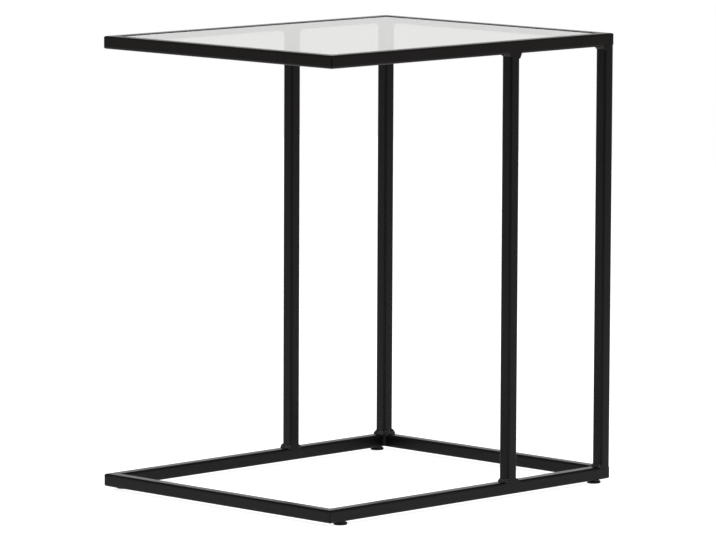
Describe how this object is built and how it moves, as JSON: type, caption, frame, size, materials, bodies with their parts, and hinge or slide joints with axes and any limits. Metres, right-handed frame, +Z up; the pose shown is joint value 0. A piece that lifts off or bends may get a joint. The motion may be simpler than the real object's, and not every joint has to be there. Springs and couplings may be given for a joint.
{
  "type": "c shaped side table",
  "caption": "C-shaped side table: a loose glass pane set in a welded square-tube frame that is open at the front to slide over a seat or bed, on screw-in levelling feet.",
  "frame": {"origin": "on the floor, under the centre of the table's bounding box", "axes": "+Z up; -Y towards the open side of the C, the front; +X to the right of someone facing the back from the front"},
  "size_m": [0.398, 0.5, 0.5668],
  "materials": {
    "powder_coat": "satin",
    "glass": "gloss",
    "bumper": "satin",
    "plated_steel": "satin",
    "pad": "matte"
  },
  "bodies": {
    "frame": {"base_front_rail": "powder_coat", "top_front_rail": "powder_coat", "base_right_rail": "powder_coat", "top_right_rail": "powder_coat", "base_back_rail": "powder_coat", "top_back_rail": "powder_coat", "base_left_rail": "powder_coat", "top_left_rail": "powder_coat", "upright_back_left": "powder_coat", "upright_back_right": "powder_coat", "upright_side_left": "powder_coat", "upright_side_right": "powder_coat", "upright_foot_welds": "powder_coat", "upright_head_welds": "powder_coat", "base_corner_welds": "powder_coat", "top_corner_welds": "powder_coat", "glass_tab_welds": "powder_coat", "glass_tab_front_left": "powder_coat", "glass_bumper_front_left": "bumper", "glass_tab_front_right": "powder_coat", "glass_bumper_front_right": "bumper", "glass_tab_back_right": "powder_coat", "glass_bumper_back_right": "bumper", "glass_tab_back_left": "powder_coat", "glass_bumper_back_left": "bumper", "threaded_inserts": "plated_steel"},
    "glass": {"glass_pane": "glass"},
    "stud_front_left": {"foot_stud_front_left": "plated_steel"},
    "pad_front_left": {"foot_pad_front_left": "pad"},
    "stud_front_right": {"foot_stud_front_right": "plated_steel"},
    "pad_front_right": {"foot_pad_front_right": "pad"},
    "stud_back_right": {"foot_stud_back_right": "plated_steel"},
    "pad_back_right": {"foot_pad_back_right": "pad"},
    "stud_back_left": {"foot_stud_back_left": "plated_steel"},
    "pad_back_left": {"foot_pad_back_left": "pad"}
  },
  "joints": [
    {"name": "glass_lift", "type": "slide", "parent": "frame", "child": "glass", "axis": [0, 0, 1], "range_m": [0, 0.05]},
    {"name": "foot_front_left_travel", "type": "slide", "parent": "frame", "child": "stud_front_left", "axis": [0, 0, -1], "range_m": [0, 0.006]},
    {"name": "foot_front_left_turn", "type": "hinge", "parent": "stud_front_left", "child": "pad_front_left", "pos_m": [-0.1905, -0.2245, 0], "axis": [0, 0, -1], "range_deg": [0, 2160]},
    {"name": "foot_front_right_travel", "type": "slide", "parent": "frame", "child": "stud_front_right", "axis": [0, 0, -1], "range_m": [0, 0.006]},
    {"name": "foot_front_right_turn", "type": "hinge", "parent": "stud_front_right", "child": "pad_front_right", "pos_m": [0.1905, -0.2245, 0], "axis": [0, 0, -1], "range_deg": [0, 2160]},
    {"name": "foot_back_right_travel", "type": "slide", "parent": "frame", "child": "stud_back_right", "axis": [0, 0, -1], "range_m": [0, 0.006]},
    {"name": "foot_back_right_turn", "type": "hinge", "parent": "stud_back_right", "child": "pad_back_right", "pos_m": [0.1905, 0.229, 0], "axis": [0, 0, -1], "range_deg": [0, 2160]},
    {"name": "foot_back_left_travel", "type": "slide", "parent": "frame", "child": "stud_back_left", "axis": [0, 0, -1], "range_m": [0, 0.006]},
    {"name": "foot_back_left_turn", "type": "hinge", "parent": "stud_back_left", "child": "pad_back_left", "pos_m": [-0.1905, 0.229, 0], "axis": [0, 0, -1], "range_deg": [0, 2160]}
  ],
  "couplings": [
    {"joint": "foot_front_left_turn", "follows": "foot_front_left_travel", "rad_per_m": 6283.2},
    {"joint": "foot_front_right_turn", "follows": "foot_front_right_travel", "rad_per_m": 6283.2},
    {"joint": "foot_back_right_turn", "follows": "foot_back_right_travel", "rad_per_m": 6283.2},
    {"joint": "foot_back_left_turn", "follows": "foot_back_left_travel", "rad_per_m": 6283.2}
  ]
}
